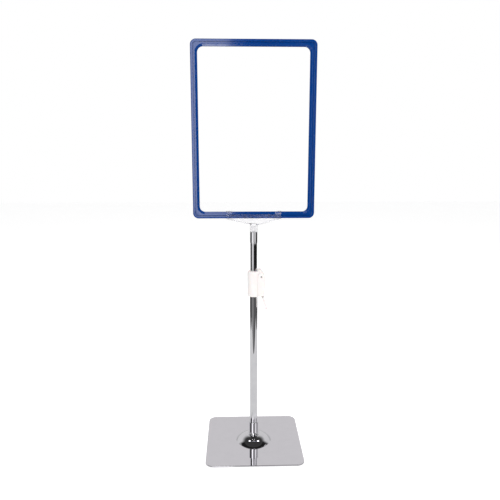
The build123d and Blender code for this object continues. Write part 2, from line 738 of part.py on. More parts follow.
def make_t_piece():
    """Clear moulded T: split stem, round neck, gusset with flanges, and a clip channel."""
    stem = INNER_TUBE_BORE - RUNNING
    neck = NECK_DIAMETER / 2
    half_length = CHANNEL_LENGTH / 2
    inner = FRAME_DEPTH / 2 + CHANNEL_GAP
    outer = inner + CHANNEL_WALL
    lip_top = FRAME_BOTTOM + CHANNEL_LIP
    rise = SLOPE_WIDTH / SLOPE_DEPTH
    root = NECK_TOP - GUSSET_SINK
    flange_end = half_length - FLANGE_END
    band_to_lip = CHANNEL_GAP + BAND_DROP
    nose_low = FRAME_BOTTOM + FRAME_RAIL - SLOPE_WIDTH - rise * band_to_lip + CLIP_GAP
    nose_high = nose_low + CLIP_NOSE * rise
    with BuildPart() as t_piece:
        with Locations((0, 0, COLLAR_TOP - STEM_LENGTH)):
            Cylinder(stem, STEM_LENGTH, align=UPWARDS)
        chamfer(t_piece.edges().group_by(Axis.Z)[0], STEM_CHAMFER)
        with Locations((0, 0, COLLAR_TOP)):
            Cylinder(neck, NECK_HEIGHT, align=UPWARDS)
        chamfer(
            t_piece.edges().filter_by(lambda e: e.geom_type == GeomType.CIRCLE and e.radius > stem),
            NECK_CHAMFER,
        )
        # gusset plate and the flanges along its sloping edges
        with BuildSketch(Plane.XZ):
            Polygon(
                (-neck, root),
                (neck, root),
                (half_length, CHANNEL_BOTTOM),
                (half_length, CHANNEL_BOTTOM + CHANNEL_WALL / 2),
                (-half_length, CHANNEL_BOTTOM + CHANNEL_WALL / 2),
                (-half_length, CHANNEL_BOTTOM),
                align=None,
            )
        extrude(amount=GUSSET_THICK / 2, both=True)
        with BuildSketch(Plane.XZ):
            Polygon(
                (-neck, root),
                (neck, root),
                (half_length, CHANNEL_BOTTOM),
                (flange_end, CHANNEL_BOTTOM + FLANGE_END_RISE),
                (neck, root + GUSSET_FLANGE),
                (-neck, root + GUSSET_FLANGE),
                (-flange_end, CHANNEL_BOTTOM + FLANGE_END_RISE),
                (-half_length, CHANNEL_BOTTOM),
                align=None,
            )
        extrude(amount=GUSSET_FLANGE_HALF, both=True)
        # channel under the rail, with low lips and a tall clip at each end
        with BuildSketch(Plane.YZ.offset(-half_length)):
            Polygon(
                (-outer, CHANNEL_BOTTOM),
                (outer, CHANNEL_BOTTOM),
                (outer, lip_top),
                (inner, lip_top),
                (inner, CHANNEL_BOTTOM + CHANNEL_WALL),
                (-inner, CHANNEL_BOTTOM + CHANNEL_WALL),
                (-inner, lip_top),
                (-outer, lip_top),
                align=None,
            )
        extrude(amount=CHANNEL_LENGTH)
        for start in (-half_length, half_length - CLIP_LENGTH):
            for side in (-1, 1):
                with BuildSketch(Plane.YZ.offset(start)):
                    Polygon(
                        (side * outer, lip_top - 1),
                        (side * inner, lip_top - 1),
                        (side * inner, nose_low),
                        (side * (inner - CLIP_NOSE), nose_high),
                        (side * (inner - CLIP_NOSE), nose_high + CLIP_TIP),
                        (side * (inner + CLIP_TIP), FRAME_BOTTOM + CLIP_TOP),
                        (side * outer, FRAME_BOTTOM + CLIP_TOP - CLIP_TOP_SLOPE),
                        align=None,
                    )
                extrude(amount=CLIP_LENGTH)
        faces = t_piece.edges().filter_by(lambda e: abs(abs(e.center().Y) - outer) < 0.01)
        fillet(faces.filter_by(lambda e: e.center().Z > CHANNEL_BOTTOM - 0.01), CLIP_ROUND)
        # hollow stem, split crosswise so that it springs in the tube
        with Locations((0, 0, COLLAR_TOP - STEM_LENGTH)):
            Cylinder(
                STEM_BORE_RADIUS,
                STEM_LENGTH + NECK_HEIGHT - NECK_ROOF,
                align=UPWARDS,
                mode=Mode.SUBTRACT,
            )
        with Locations((0, 0, COLLAR_TOP - STEM_LENGTH)):
            Box(STEM_SLIT, 4 * stem, STEM_SLIT_LENGTH, align=UPWARDS, mode=Mode.SUBTRACT)
            Box(4 * stem, STEM_SLIT, STEM_SLIT_LENGTH, align=UPWARDS, mode=Mode.SUBTRACT)
    save(t_piece, "t_piece")


make_base_plate()
make_base_pads()
make_dome_cover()
make_socket_sleeve()
make_socket_plug()
make_bolt_set()
make_tube("outer_tube", PLUG_TOP, OUTER_TUBE_LENGTH, OUTER_TUBE_RADIUS, OUTER_TUBE_WALL)
make_tube(
    "inner_tube", INNER_TUBE_BOTTOM, INNER_TUBE_LENGTH, INNER_TUBE_RADIUS, INNER_TUBE_WALL
)
make_tube_glide()
make_top_collar()
make_clamp_body()
make_lever_pin()
make_brake_pad()
make_clamp_lever()
make_frame_half("frame_front", -1)
make_frame_half("frame_rear", 1)
make_t_piece()
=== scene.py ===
"""Visual model of a telescopic sign stand: a blue sheet frame on a chromed pole and plate.

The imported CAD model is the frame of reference. Pieces that show are modelled here with bmesh
operators, or are smoothed copies of their CAD solids, and stand in for their CAD nodes. Hidden
pieces keep their CAD mesh and get a finish. All lengths are in metres: +Z is up, X runs across
the sign, and the sign faces -Y.
"""

import logging
import math
from dataclasses import dataclass
from enum import Enum

import bmesh
import bpy
from bmesh.types import BMEdge, BMesh
from mathutils import Matrix, Vector


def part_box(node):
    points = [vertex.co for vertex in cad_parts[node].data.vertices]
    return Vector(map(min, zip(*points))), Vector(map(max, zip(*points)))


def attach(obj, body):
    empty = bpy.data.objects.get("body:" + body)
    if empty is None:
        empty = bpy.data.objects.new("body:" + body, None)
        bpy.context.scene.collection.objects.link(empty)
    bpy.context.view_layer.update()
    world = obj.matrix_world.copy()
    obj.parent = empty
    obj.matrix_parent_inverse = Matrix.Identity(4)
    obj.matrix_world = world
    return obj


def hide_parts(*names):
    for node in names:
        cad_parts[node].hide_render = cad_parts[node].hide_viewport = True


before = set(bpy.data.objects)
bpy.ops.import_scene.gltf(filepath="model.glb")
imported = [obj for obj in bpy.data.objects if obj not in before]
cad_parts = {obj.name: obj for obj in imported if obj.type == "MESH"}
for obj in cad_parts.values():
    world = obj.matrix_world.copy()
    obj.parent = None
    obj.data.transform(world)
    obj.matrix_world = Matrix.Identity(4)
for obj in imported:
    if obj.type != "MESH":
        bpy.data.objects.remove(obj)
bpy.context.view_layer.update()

log = logging.getLogger("sign_stand")

MM = 0.001
FULL_TURN = 2 * math.pi
MERGE = 0.001 * MM  # points nearer than this are one point
SAME = 0.0001 * MM  # lengths nearer than this are equal
TURNED_SHARP = 40.0  # least angle between faces, in degrees, that stays sharp on a turned piece
EDGE_RUB = "edge_rub"  # attribute that says how much an edge is scuffed
WHITE = (1.0, 1.0, 1.0)

Pair = tuple[float, float]
Triple = tuple[float, float, float]
Socket = bpy.types.NodeSocket
Node = bpy.types.Node
Solid = bpy.types.Object


# ---------------------------------------------------------------- node trees


@dataclass(frozen=True)
class Noise:
    """A cloudy pattern in object coordinates.

    Attributes:
        scale: Its cells to the metre.
        detail: Its octaves.
        stretch: A factor on the scale along each axis.
    """

    scale: float
    detail: float = 3.0
    stretch: Triple = (1.0, 1.0, 1.0)


@dataclass(frozen=True)
class Specks:
    """Scattered round specks, such as dust or mould pits.

    Attributes:
        scale: Cells to the metre, with at most one speck in each.
        size: A speck's radius as a share of its cell.
        weight: How strongly a speck counts.
        bare: Share of the cells that have no speck.
    """

    scale: float
    size: float
    weight: float = 1.0
    bare: float = 0.7


@dataclass(frozen=True)
class Relief:
    """Fine relief in a surface.

    Attributes:
        pattern: Its noise or specks.
        depth: Height of a full step, below zero where it is sunk.
        strength: The bump's strength.
    """

    pattern: Noise | Specks
    depth: float
    strength: float


class Graph:
    """A shader node tree with short methods for the nodes that the finishes share."""

    def __init__(self, tree: bpy.types.NodeTree) -> None:
        """Starts from an empty tree.

        Args:
            tree: The node tree to fill.
        """
        self.tree = tree
        tree.nodes.clear()

    def node(self, kind: str, **inputs: object) -> Node:
        """Adds one node and sets or links its inputs.

        Args:
            kind: The node's bl_idname.
            **inputs: Values or sockets by input name, with spaces as underscores.

        Returns:
            The new node.
        """
        made = self.tree.nodes.new(kind)
        for name, value in inputs.items():
            self.put(made.inputs[name.replace("_", " ")], value)
        return made

    def put(self, socket: Socket, value: object) -> None:
        """Links a socket to an input, or sets its value.

        Args:
            socket: The input socket.
            value: A socket to link, or a value to set.
        """
        if isinstance(value, Socket):
            self.tree.links.new(value, socket)
        else:
            socket.default_value = value

    def math(self, operation: str, *values: object) -> Socket:
        """Adds a Math node.

        Args:
            operation: The Math node's operation.
            *values: One value or socket for each operand.

        Returns:
            The result's socket.
        """
        made = self.tree.nodes.new("ShaderNodeMath")
        made.operation = operation
        for socket, value in zip(made.inputs, values):
            self.put(socket, value)
        return made.outputs["Value"]

    def smooth_step(self, value: object, low: float, high: float) -> Socket:
        """Adds a smooth ramp from 0 at low to 1 at high.

        Args:
            value: The socket to read.
            low: Where the ramp starts.
            high: Where it ends.

        Returns:
            The ramp's socket.
        """
        made = self.node("ShaderNodeMapRange", Value=value, From_Min=low, From_Max=high)
        made.interpolation_type = "SMOOTHSTEP"
        return made.outputs["Result"]

    def spread(self, noise: Socket, low: float, high: float) -> Socket:
        """Maps a noise's middle range, where nearly all of it lies, to low and high."""
        ends = {"From_Min": 0.3, "From_Max": 0.7, "To_Min": low, "To_Max": high}
        return self.node("ShaderNodeMapRange", Value=noise, **ends).outputs["Result"]

    def noise(self, noise: Noise) -> Socket:
        """Adds a noise.

        Args:
            noise: The noise.

        Returns:
            Its factor.
        """
        where = self.node("ShaderNodeTexCoord").outputs["Object"]
        place = self.node("ShaderNodeMapping", Vector=where, Scale=noise.stretch).outputs["Vector"]
        made = self.node("ShaderNodeTexNoise", Vector=place, Scale=noise.scale, Detail=noise.detail)
        return made.outputs["Fac"]

    def specks(self, specks: Specks) -> Socket:
        """Adds specks.

        Args:
            specks: The specks.

        Returns:
            Their weight in a speck and 0 outside.
        """
        where = self.node("ShaderNodeTexCoord").outputs["Object"]
        cells = self.node("ShaderNodeTexVoronoi", Vector=where, Scale=specks.scale)
        inside = self.smooth_step(cells.outputs["Distance"], specks.size, specks.size / 2)
        chance = self.node("ShaderNodeSeparateColor", Color=cells.outputs["Color"]).outputs[0]
        speck = self.math("MULTIPLY", inside, self.math("GREATER_THAN", chance, specks.bare))
        return self.math("MULTIPLY", speck, specks.weight)

    def blend(self, factor: Socket, first: object, second: object) -> Socket:
        """Mixes two colours.

        Args:
            factor: The socket that mixes them.
            first: The colour at 0, or a socket.
            second: The colour at 1, or a socket.

        Returns:
            The mixed colour's socket.
        """
        made = self.tree.nodes.new("ShaderNodeMix")
        made.data_type = "RGBA"
        for index, value in ((0, factor), (6, first), (7, second)):
            self.put(made.inputs[index], opaque(value) if isinstance(value, tuple) else value)
        return made.outputs[2]

    def tones(self, noise: Socket, first: Triple, second: Triple) -> Socket:
        """Spreads a noise over two colours."""
        return self.blend(self.spread(noise, 0.0, 1.0), first, second)

    def relief(self, *layers: Relief) -> Socket:
        """Adds relief, with each layer over the one before.

        Args:
            *layers: The layers.

        Returns:
            The bumped normal.
        """
        under = {}
        for layer in layers:
            draw = self.noise if isinstance(layer.pattern, Noise) else self.specks
            made = self.node(
                "ShaderNodeBump",
                Height=draw(layer.pattern),
                Distance=layer.depth,
                Strength=layer.strength,
                **under,
            )
            under = {"Normal": made.outputs["Normal"]}
        return under["Normal"]

    def mix_shader(self, factor: Socket, first: Node, second: Node) -> Node:
        """Mixes the outputs of two shader nodes.

        Args:
            factor: The socket that mixes them.
            first: The node at 0.
            second: The node at 1.

        Returns:
            The Mix Shader node.
        """
        made = self.tree.nodes.new("ShaderNodeMixShader")
        for socket, value in zip(made.inputs, (factor, first.outputs[0], second.outputs[0])):
            self.put(socket, value)
        return made


def opaque(colour: Triple) -> tuple[float, float, float, float]:
    """Adds a full alpha to a colour."""
    return (*colour, 1.0)


# ---------------------------------------------------------------- finishes


@dataclass(frozen=True)
class Finish:
    """A surface finish, which makes one material.

    Attributes:
        name: The material's name.
        slot: The record's material slot that it belongs to. It is not used.
    """

    name: str
    slot: str

    def material(self) -> bpy.types.Material:
        """Makes the material, or returns the one made before.

        Returns:
            The finish's material.
        """
        known = bpy.data.materials.get(self.name)
        if known is not None:
            return known
        made = bpy.data.materials.new(self.name)
        made.use_nodes = True
        graph = Graph(made.node_tree)
        shader = graph.node("ShaderNodeBsdfPrincipled", **self.inputs(graph))
        graph.node("ShaderNodeOutputMaterial", Surface=shader.outputs["BSDF"])
        return made

    def inputs(self, graph: Graph) -> dict[str, object]:
        """Makes what the shader reads.

        Args:
            graph: The material's node tree.

        Returns:
            Values and sockets by input name, with spaces as underscores.
        """
        raise NotImplementedError


def drawn(stretch: Triple) -> Relief:
    """Fine lines in plating, longest along the axis with the least stretch."""
    return Relief(Noise(900.0, stretch=stretch), 0.002 * MM, 0.25)


@dataclass(frozen=True)
class BrightChrome(Finish):
    """Bright chrome plating with handling smudges, drawing lines and a little orange peel.

    Attributes:
        light: Colour of clean plating.
        dull: Colour where it is smudged.
        sharp: Roughness of clean plating.
        smudged: Roughness where it is smudged.
        lines: The drawing lines.
        peel: The orange peel.
        smudges: The smudges' noise.
        dust: The dust, weighted by the roughness it adds.
    """

    light: Triple = (0.90, 0.90, 0.92)
    dull: Triple = (0.83, 0.83, 0.86)
    sharp: float = 0.012
    smudged: float = 0.04
    lines: Relief = drawn((1.0, 1.0, 0.02))
    peel: Relief = Relief(Noise(60.0), 0.02 * MM, 0.12)
    smudges: Noise = Noise(38.0, 5.0)
    dust: Specks = Specks(420.0, 0.09, 0.2)

    def inputs(self, graph: Graph) -> dict[str, object]:
        """Makes what the shader reads.

        Args:
            graph: The material's node tree.

        Returns:
            Values and sockets by input name.
        """
        smudges = graph.noise(self.smudges)
        rough = graph.spread(smudges, self.sharp, self.smudged)
        return {
            "Base_Color": graph.tones(smudges, self.light, self.dull),
            "Roughness": graph.math("ADD", rough, graph.specks(self.dust)),
            "Metallic": 1.0,
            "Normal": graph.relief(self.lines, self.peel),
        }


@dataclass(frozen=True)
class GlossyPlastic(Finish):
    """Glossy moulded plastic with flow streaks, scuffed edges and dust.

    Attributes:
        deep: The plastic's main colour.
        pale: Its colour in the flow streaks.
        scuff: Its colour where an edge is scuffed.
        gloss: Roughness of untouched plastic.
        worn: Roughness where it has been handled.
        streaks: The flow streaks' noise.
        patches: The noise that breaks the scuffs up.
        patch_range: The part of that noise where a scuff fades in.
        scuff_tint: How much of the scuff colour a scuff shows.
        scuff_rough: Roughness that a scuff adds.
        marks: The handling marks' noise.
        dust: The dust, weighted by how much of the scuff colour it shows.
        ripple: The slow ripple of a moulded surface.
        grain: The fine grain over it.
    """

    deep: Triple
    pale: Triple
    scuff: Triple
    gloss: float = 0.055
    worn: float = 0.09
    streaks: Noise = Noise(14.0, 4.0, (1.0, 1.0, 0.35))
    patches: Noise = Noise(130.0, 6.0)
    patch_range: Pair = (0.50, 0.66)
    scuff_tint: float = 0.08
    scuff_rough: float = 0.10
    marks: Noise = Noise(22.0, 6.0)
    dust: Specks = Specks(300.0, 0.08, 0.08)
    ripple: Relief = Relief(Noise(60.0), 0.03 * MM, 0.06)
    grain: Relief = Relief(Noise(2600.0, 2.0), 0.004 * MM, 0.08)

    def inputs(self, graph: Graph) -> dict[str, object]:
        """Makes what the shader reads.

        Args:
            graph: The material's node tree.

        Returns:
            Values and sockets by input name.
        """
        body = graph.tones(graph.noise(self.streaks), self.deep, self.pale)
        rubbed = graph.node("ShaderNodeAttribute")
        rubbed.attribute_name = EDGE_RUB
        patches = graph.smooth_step(graph.noise(self.patches), *self.patch_range)
        scuffs = graph.math("MULTIPLY", rubbed.outputs["Fac"], patches)
        body = graph.blend(graph.math("MULTIPLY", scuffs, self.scuff_tint), body, self.scuff)
        rough = graph.spread(graph.noise(self.marks), self.gloss, self.worn)
        scuff_rough = graph.math("MULTIPLY", scuffs, self.scuff_rough)
        return {
            "Base_Color": graph.blend(graph.specks(self.dust), body, self.scuff),
            "Roughness": graph.math("ADD", rough, scuff_rough),
            "IOR": 1.53,
            "Normal": graph.relief(self.ripple, self.grain),
        }


@dataclass(frozen=True)
class SatinPlastic(Finish):
    """Satin moulded plastic with a fine spark-eroded grain and finger marks.

    Attributes:
        colour: The plastic's colour.
        handled: Its colour where it has been handled.
        satin: Roughness of untouched plastic.
        polished: Roughness where fingers have polished it.
        glow: Share of light that spreads under the surface.
        glow_reach: How far it spreads.
        marks: The finger marks' noise.
        pits: The pits, weighted by how much of the dirt's colour they show.
        dirt: The dirt's colour.
        grain: The spark-eroded grain.
        waves: The slow waves over it.
    """

    colour: Triple
    handled: Triple
    satin: float = 0.46
    polished: float = 0.30
    glow: float = 0.0
    glow_reach: float = 2.0 * MM
    marks: Noise = Noise(45.0, 5.0)
    pits: Specks = Specks(500.0, 0.10, 0.2)
    dirt: Triple = (0.35, 0.33, 0.31)
    grain: Relief = Relief(Noise(3200.0), 0.01 * MM, 0.35)
    waves: Relief = Relief(Noise(120.0), 0.04 * MM, 0.1)

    def inputs(self, graph: Graph) -> dict[str, object]:
        """Makes what the shader reads.

        Args:
            graph: The material's node tree.

        Returns:
            Values and sockets by input name.
        """
        marks = graph.noise(self.marks)
        body = graph.tones(marks, self.colour, self.handled)
        made = {
            "Base_Color": graph.blend(graph.specks(self.pits), body, self.dirt),
            "Roughness": graph.spread(marks, self.satin, self.polished),
            "IOR": 1.5,
            "Normal": graph.relief(self.grain, self.waves),
        }
        if self.glow:
            made |= {"Subsurface_Weight": self.glow, "Subsurface_Scale": self.glow_reach}
        return made


@dataclass(frozen=True)
class ClearPlastic(Finish):
    """Clear moulded plastic with flow ripples and light scuffs.

    Attributes:
        tint: Colour of light through it.
        scuffed: Colour where it is scuffed.
        cloudy: Roughness where it is scuffed.
        clouds: The scuffs' noise.
        ripple: The flow ripples.
    """

    tint: Triple
    scuffed: Triple
    cloudy: float = 0.035
    clouds: Noise = Noise(70.0, 6.0)
    ripple: Relief = Relief(Noise(45.0, stretch=(1.0, 1.0, 0.4)), 0.03 * MM, 0.06)

    def inputs(self, graph: Graph) -> dict[str, object]:
        """Makes what the shader reads.

        Args:
            graph: The material's node tree.

        Returns:
            Values and sockets by input name.
        """
        clouds = graph.noise(self.clouds)
        return {
            "Base_Color": graph.tones(clouds, self.tint, self.scuffed),
            "Roughness": graph.spread(clouds, 0.0, self.cloudy),
            "Transmission_Weight": 1.0,
            "IOR": 1.49,
            "Normal": graph.relief(self.ripple),
        }


@dataclass(frozen=True)
class DullSurface(Finish):
    """Plain steel with tool marks and tarnish, or foam rubber with pores and dust.

    Attributes:
        clean: Colour of a clean patch.
        dirty: Colour of a tarnished or dusty patch.
        low: Roughness of a clean patch.
        high: Roughness of a tarnished or dusty patch.
        metallic: 1 for a metal and 0 for anything else.
        patches: The patches' noise.
        marks: The tool marks or pores.
    """

    clean: Triple
    dirty: Triple
    low: float = 0.25
    high: float = 0.48
    metallic: float = 1.0
    patches: Noise = Noise(160.0, 6.0)
    marks: Relief = Relief(Noise(1500.0, stretch=(0.15, 0.15, 3.0)), 0.01 * MM, 0.3)

    def inputs(self, graph: Graph) -> dict[str, object]:
        """Makes what the shader reads.

        Args:
            graph: The material's node tree.

        Returns:
            Values and sockets by input name.
        """
        patches = graph.noise(self.patches)
        return {
            "Base_Color": graph.tones(patches, self.clean, self.dirty),
            "Roughness": graph.spread(patches, self.low, self.high),
            "Metallic": self.metallic,
            "Normal": graph.relief(self.marks),
        }


PLATE_CHROME = BrightChrome(
    "plate_plating",
    "plate_chrome",
    light=(0.865, 0.85, 0.885),
    dull=(0.845, 0.83, 0.865),
    sharp=0.02,
    smudged=0.045,
    lines=drawn((1.0, 0.05, 1.0)),
)
DOME_CHROME = BrightChrome("dome_plating", "dome_chrome", lines=drawn((1.0, 1.0, 1.0)))
SOCKET_CHROME = BrightChrome("socket_plating", "socket_chrome", lines=drawn((0.1, 0.1, 2.0)))
TUBE_CHROME = BrightChrome("tube_plating", "tube_chrome")
COLLAR_CHROME = BrightChrome(
    "collar_plating", "tube_chrome", sharp=0.02, smudged=0.05, lines=drawn((0.1, 0.1, 2.0))
)
FRAME_BLUE = GlossyPlastic(
    "frame_blue",
    "blue_plastic",
    deep=(0.0014, 0.034, 0.180),
    pale=(0.0019, 0.039, 0.198),
    scuff=(0.10, 0.17, 0.38),
)
CLAMP_WHITE = SatinPlastic(
    "clamp_white", "white_plastic", (0.86, 0.815, 0.805), (0.83, 0.785, 0.77), glow=0.08
)
GLIDE_BLACK = SatinPlastic(
    "glide_black", "black_plastic", (0.035, 0.035, 0.037), (0.055, 0.055, 0.056)
)
T_CLEAR = ClearPlastic("t_clear", "clear_plastic", (0.93, 0.925, 0.935), (0.88, 0.875, 0.89))
PLUG_STEEL = DullSurface("plug_steel", "plug_steel", (0.62, 0.62, 0.63), (0.45, 0.44, 0.42))
ZINC_STEEL = DullSurface("zinc_steel", "zinc_steel", (0.70, 0.71, 0.74), (0.56, 0.55, 0.50))
# The pin's dark steel colour is partly painted shade: it darkens the pin's ends to stand for the
# shade seen in the pin's hole.
PIN_STEEL_WITH_PAINTED_SHADE = DullSurface("pin_steel", "pin_steel", (0.16, 0.15, 0.15), (0.09, 0.08, 0.08))
PAD_RUBBER = DullSurface(
    "pad_rubber",
    "pad_rubber",
    clean=(0.035, 0.035, 0.036),
    dirty=(0.085, 0.083, 0.08),
    low=0.75,
    high=0.95,
    metallic=0.0,
    patches=Noise(90.0, 6.0),
    marks=Relief(Specks(1400.0, 0.35), -0.15 * MM, 0.6),
)


# ---------------------------------------------------------------- mesh helpers


class Around(Enum):
    """The axis that a turned piece is spun about."""

    UP = (0.0, 0.0, 1.0)
    DEPTH = (0.0, 1.0, 0.0)

    @property
    def vector(self) -> Vector:
        """The axis as a vector."""
        return Vector(self.value)

    def place(self, radius: float, along: float) -> Vector:
        """Puts a profile point beside the axis.

        Args:
            radius: Distance from the axis.
            along: Distance along it.

        Returns:
            The point before it is spun.
        """
        if self is Around.UP:
            return Vector((radius, 0.0, along))
        return Vector((radius, along, 0.0))


def arc(centre: Pair, radius: float, start: float, end: float, steps: int) -> list[Pair]:
    """Points along an arc of a profile.

    Args:
        centre: The arc's centre.
        radius: Its radius.
        start: Its first angle in degrees.
        end: Its last angle in degrees.
        steps: Its number of chords.

    Returns:
        The arc's points, both ends included.
    """
    angles = [math.radians(start + (end - start) * n / steps) for n in range(steps + 1)]
    return [(centre[0] + radius * math.cos(a), centre[1] + radius * math.sin(a)) for a in angles]


def turned_side(radius: float, low: float, high: float, edge: float, steps: int) -> list[Pair]:
    """Profile of a turned outside whose two ends are rounded.

    Args:
        radius: Its radius.
        low: Its low end.
        high: Its high end.
        edge: Radius of the rounds.
        steps: Chords in each round.

    Returns:
        The profile's points from the low end to the high one.
    """
    inner = radius - edge
    lower = arc((inner, low + edge), edge, -90.0, 0.0, steps)
    return lower + arc((inner, high - edge), edge, 0.0, 90.0, steps)


def eased(before: Pair, corner: Pair, after: Pair, radius: float, steps: int = 3) -> list[Pair]:
    """Points of the round that takes the place of a profile's corner.

    Args:
        before: The profile's point before the corner.
        corner: The corner.
        after: The point after it.
        radius: The round's radius.
        steps: Its number of chords.

    Returns:
        The round's points, both ends included.
    """
    here = Vector(corner)
    back, ahead = (Vector(before) - here).normalized(), (Vector(after) - here).normalized()
    half = back.angle(ahead) / 2
    centre = here + (back + ahead).normalized() * (radius / math.sin(half))
    reach = radius / math.tan(half)
    start, end = here + back * reach - centre, here + ahead * reach - centre
    turns = [start.lerp(end, n / steps).normalized() * radius for n in range(steps + 1)]
    return [tuple(centre + turn) for turn in turns]


def make_object(name: str, bm: BMesh, smooth_angle: float = 32.0) -> Solid:
    """Turns a bmesh into an object whose flat faces stay flat and whose rounds are smooth.

    Args:
        name: The object's name.
        bm: The bmesh, which is freed.
        smooth_angle: The least angle between faces, in degrees, that stays sharp.

    Returns:
        The new object.
    """
    bmesh.ops.recalc_face_normals(bm, faces=bm.faces[:])
    mesh = bpy.data.meshes.new(name)
    bm.to_mesh(mesh)
    bm.free()
    mesh.shade_smooth()
    mesh.set_sharp_from_angle(angle=math.radians(smooth_angle))
    made = bpy.data.objects.new(name, mesh)
    bpy.context.scene.collection.objects.link(made)
    weighted = made.modifiers.new("flat_faces", "WEIGHTED_NORMAL")
    weighted.keep_sharp = True
    weighted.weight = 90
    return made


def turned(
    name: str,
    profile: list[Pair],
    steps: int = 128,
    about: Around = Around.UP,
    centre: Vector = Vector((0.0, 0.0, 0.0)),
) -> Solid:
    """Spins a closed profile into a ring-shaped or solid turned piece.

    Args:
        name: The piece's name.
        profile: Points as (radius, distance along the axis).
        steps: Chords round the full turn.
        about: The axis it is spun about.
        centre: A point that the axis goes through.

    Returns:
        The piece.
    """
    bm = bmesh.new()
    points = [bm.verts.new(about.place(r, a) + centre) for r, a in profile]
    edges = [
        bm.edges.new((first, second))
        for first, second in zip(points, points[1:] + points[:1])
        if (first.co - second.co).length > 0
    ]
    bmesh.ops.spin(
        bm, geom=points + edges, cent=centre, axis=about.vector, angle=FULL_TURN, steps=steps,
        use_merge=True,
    )
    bmesh.ops.remove_doubles(bm, verts=bm.verts[:], dist=SAME)
    return make_object(name, bm, TURNED_SHARP)


@dataclass(frozen=True)
class Outline:
    """A rounded square or rectangle, or a circle, that lies flat about the Z axis.

    Attributes:
        half_width: Half its width along X.
        half_height: Half its height along Y.
        radius: Its corner radius, or half its width for a circle.
        height: Its height along Z.
        rub: How much the edge along it is scuffed, from 0 to 1.
    """

    half_width: float
    half_height: float
    radius: float
    height: float
    rub: float = 0.0

    def draw(self, bm: BMesh, steps: int) -> list[BMEdge]:
        """Draws the outline without filling it.

        Args:
            bm: The bmesh it is drawn in.
            steps: Chords in each corner.

        Returns:
            The outline's edges.
        """
        if self.radius >= self.half_width:
            circle = bmesh.ops.create_circle(bm, segments=4 * (steps + 1), radius=self.radius)
            points = circle["verts"]
        else:
            corners = [(-1, -1), (1, -1), (1, 1), (-1, 1)]
            verts = [
                bm.verts.new((self.half_width * x, self.half_height * y, 0.0)) for x, y in corners
            ]
            bm.faces.new(verts)
            rounded = bmesh.ops.bevel(
                bm, geom=verts, offset=self.radius, offset_type="OFFSET", segments=steps,
                profile=0.5, affect="VERTICES", material=-1, clamp_overlap=False,
            )
            points = rounded["verts"]
            bmesh.ops.delete(bm, geom=list(points[0].link_faces), context="FACES_ONLY")
        rub = bm.verts.layers.float.get(EDGE_RUB)
        for vert in points:
            vert.co.z = self.height
            if rub is not None:
                vert[rub] = self.rub
        return list({edge for vert in points for edge in vert.link_edges})


def skin(bm: BMesh, outlines: list[Outline], steps: int) -> None:
    """Bridges outlines in a closed order, such as the lines of a rail's section.

    Each strip is bridged by itself and then merged with its neighbours.

    Args:
        bm: The bmesh it is made in.
        outlines: The outlines in order; the last one meets the first.
        steps: Chords in each corner.
    """
    for first, second in zip(outlines, outlines[1:] + outlines[:1]):
        edges = first.draw(bm, steps) + second.draw(bm, steps)
        bmesh.ops.bridge_loops(bm, edges=edges)
    bmesh.ops.remove_doubles(bm, verts=bm.verts[:], dist=MERGE)


def solid_copy(name: str, node: str) -> Solid:
    """Copies a CAD node's mesh, joins its loose triangles and shades it smooth.

    Args:
        name: The copy's name.
        node: The CAD node.

    Returns:
        The new object.
    """
    bm = bmesh.new()
    bm.from_mesh(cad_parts[node].data)
    bmesh.ops.remove_doubles(bm, verts=bm.verts[:], dist=MERGE)
    bmesh.ops.dissolve_degenerate(bm, edges=bm.edges[:], dist=SAME)
    return make_object(name, bm)


def dress(piece: Solid, finish: Finish, body: str, *nodes: str) -> Solid:
    """Gives a piece its finish and body, and says which CAD nodes it stands for.

    Args:
        piece: The piece.
        finish: Its finish.
        body: The body it rides on.
        *nodes: The CAD nodes that it replaces.

    Returns:
        The piece.
    """
    piece.data.materials.clear()
    piece.data.materials.append(finish.material())
    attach(piece, body)
    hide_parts(*nodes)
    log.info("%s: %d faces, %s, rides on %s", piece.name, len(piece.data.polygons),
             finish.name, body)
    return piece


def coat(node: str, finish: Finish) -> None:
    """Gives a CAD node that keeps its own mesh a finish.

    Args:
        node: The CAD node.
        finish: Its finish.
    """
    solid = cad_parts[node]
    for slot in solid.material_slots:
        slot.material = finish.material()
    if not solid.material_slots:
        solid.data.materials.append(finish.material())
    log.info("%s: CAD mesh, %s", node, finish.name)


# ---------------------------------------------------------------- base


